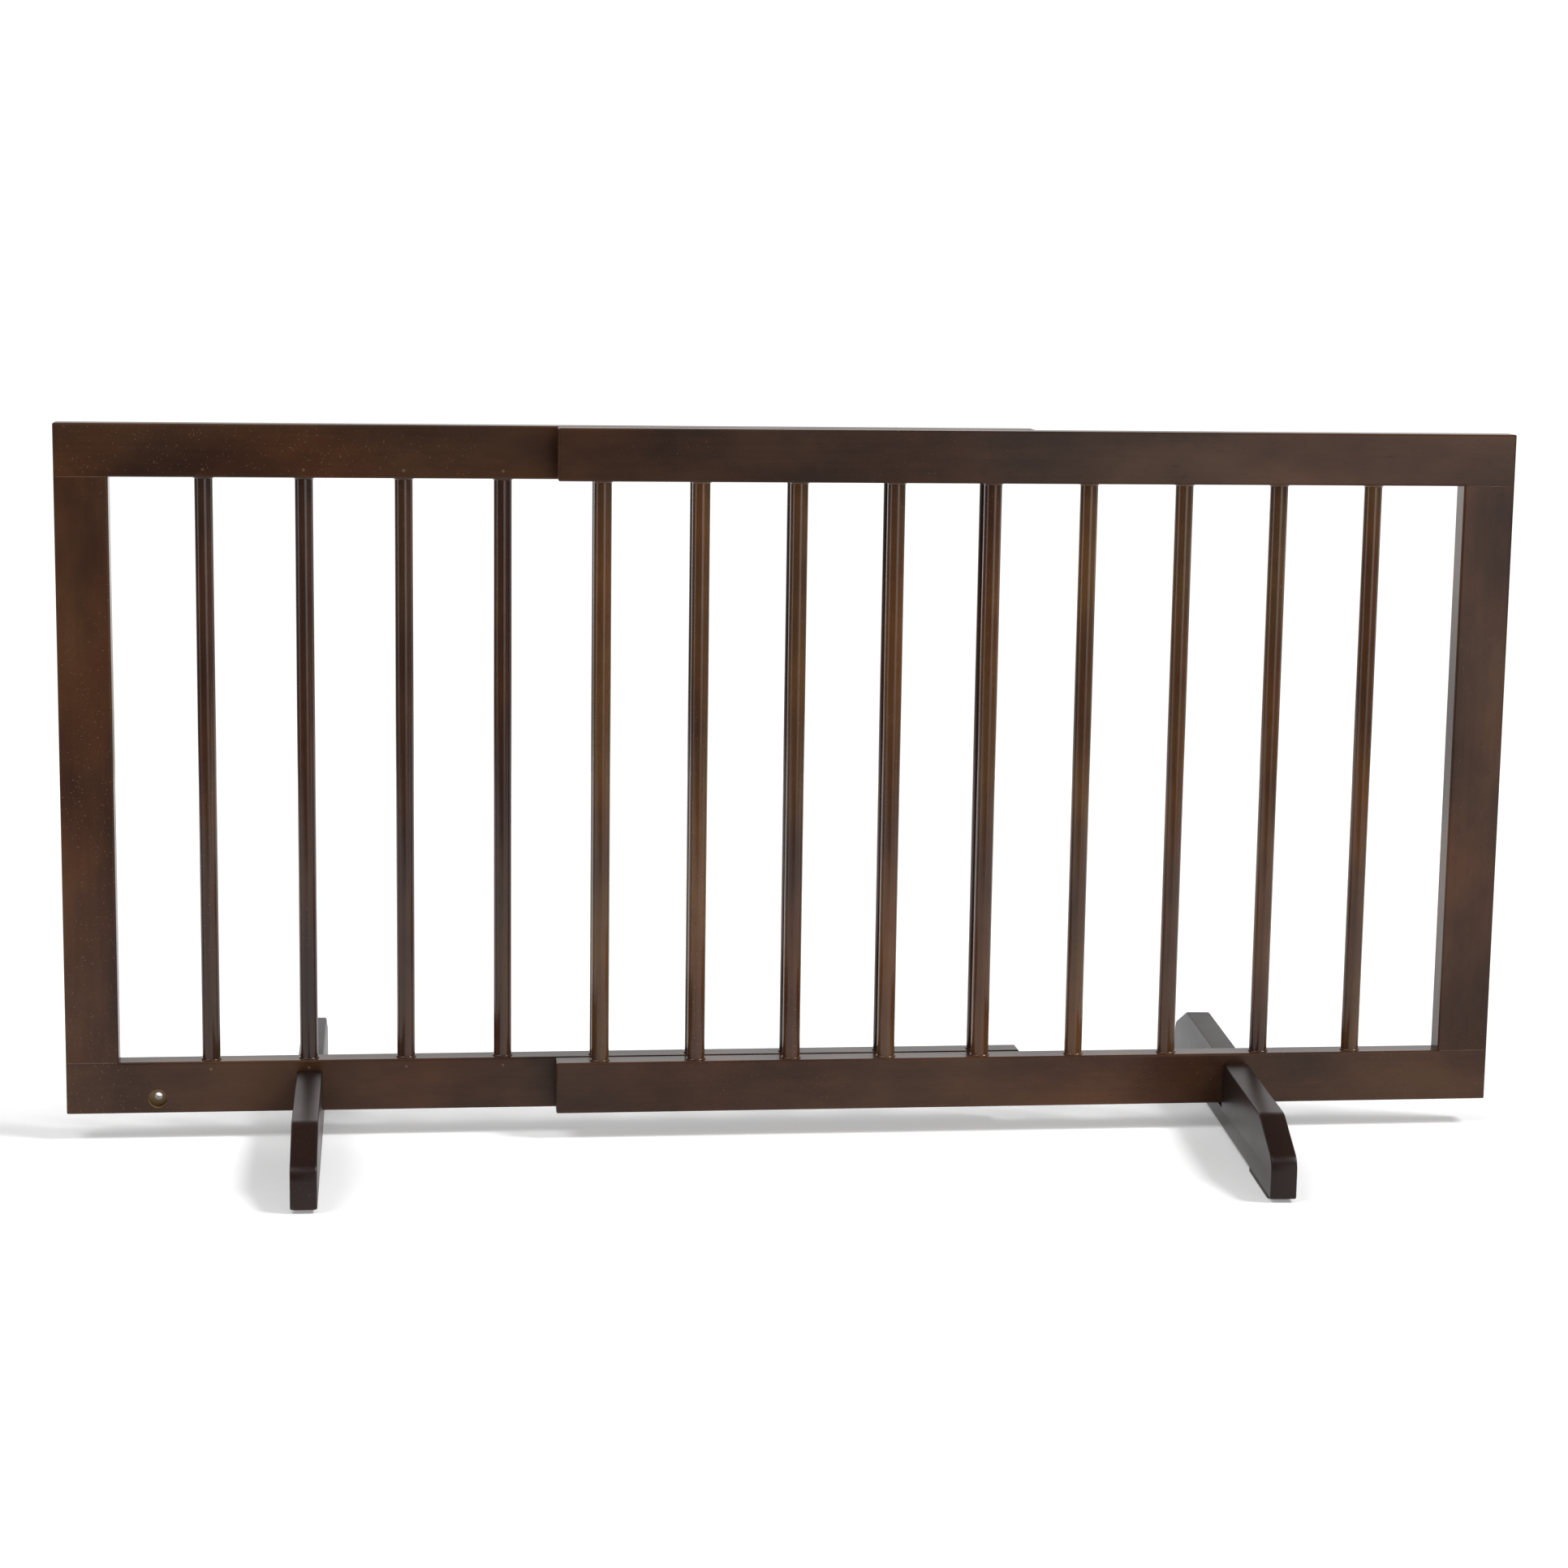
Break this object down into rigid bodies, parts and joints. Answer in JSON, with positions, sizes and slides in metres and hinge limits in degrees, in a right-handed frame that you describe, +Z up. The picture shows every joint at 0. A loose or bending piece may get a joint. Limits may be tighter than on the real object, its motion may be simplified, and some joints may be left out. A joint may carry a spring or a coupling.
{
  "type": "safety baby gate",
  "caption": "Free-standing step-over gate: two barred wooden panels that slide past each other on T-slot guides, each standing on a notched cross foot with non-slip pads.",
  "frame": {"origin": "on the floor, halfway along the gate as it stands and halfway between the two panels", "axes": "+X along the gate from the rear panel's end post to the front panel's end post, -Y towards the front, +Z up"},
  "size_m": [1.031, 0.4196, 0.508],
  "materials": {
    "board": "dark walnut stain, satin lacquer",
    "spindle": "dark walnut stain, satin lacquer",
    "foot": "dark walnut stain, satin lacquer",
    "dowel": "bare beech",
    "guide": "moulded nylon",
    "fastener": "zinc plated",
    "pad": "matte"
  },
  "bodies": {
    "rear_panel": {"rear_top_rail": "board", "rear_bottom_rail": "board", "rear_end_post": "board", "rear_spindle_1": "spindle", "rear_spindle_2": "spindle", "rear_spindle_3": "spindle", "rear_spindle_4": "spindle", "rear_spindle_5": "spindle", "rear_spindle_6": "spindle", "rear_spindle_7": "spindle", "rear_spindle_8": "spindle", "rear_spindle_9": "spindle", "rear_joint_dowels": "dowel", "rear_brads": "fastener", "upper_inner_guide": "guide", "upper_outer_guide": "guide", "lower_inner_guide": "guide", "lower_outer_guide": "guide", "guide_screws": "fastener"},
    "front_panel": {"front_top_rail": "board", "front_bottom_rail": "board", "front_end_post": "board", "front_spindle_1": "spindle", "front_spindle_2": "spindle", "front_spindle_3": "spindle", "front_spindle_4": "spindle", "front_spindle_5": "spindle", "front_spindle_6": "spindle", "front_spindle_7": "spindle", "front_spindle_8": "spindle", "front_spindle_9": "spindle", "front_joint_dowels": "dowel", "front_brads": "fastener"},
    "left_foot": {"left_foot": "foot", "left_foot_rail_pad": "pad", "left_foot_front_pad": "pad", "left_foot_rear_pad": "pad"},
    "right_foot": {"right_foot": "foot", "right_foot_rail_pad": "pad", "right_foot_front_pad": "pad", "right_foot_rear_pad": "pad"}
  },
  "joints": [
    {"name": "panel_slide", "type": "slide", "parent": "rear_panel", "child": "front_panel", "axis": [1, 0, 0], "range_m": [-0.11, 0.24]},
    {"name": "left_foot_slide", "type": "slide", "parent": "rear_panel", "child": "left_foot", "axis": [1, 0, 0], "range_m": [-0.15, 0.03]},
    {"name": "right_foot_slide", "type": "slide", "parent": "front_panel", "child": "right_foot", "axis": [1, 0, 0], "range_m": [-0.02, 0.15]}
  ]
}
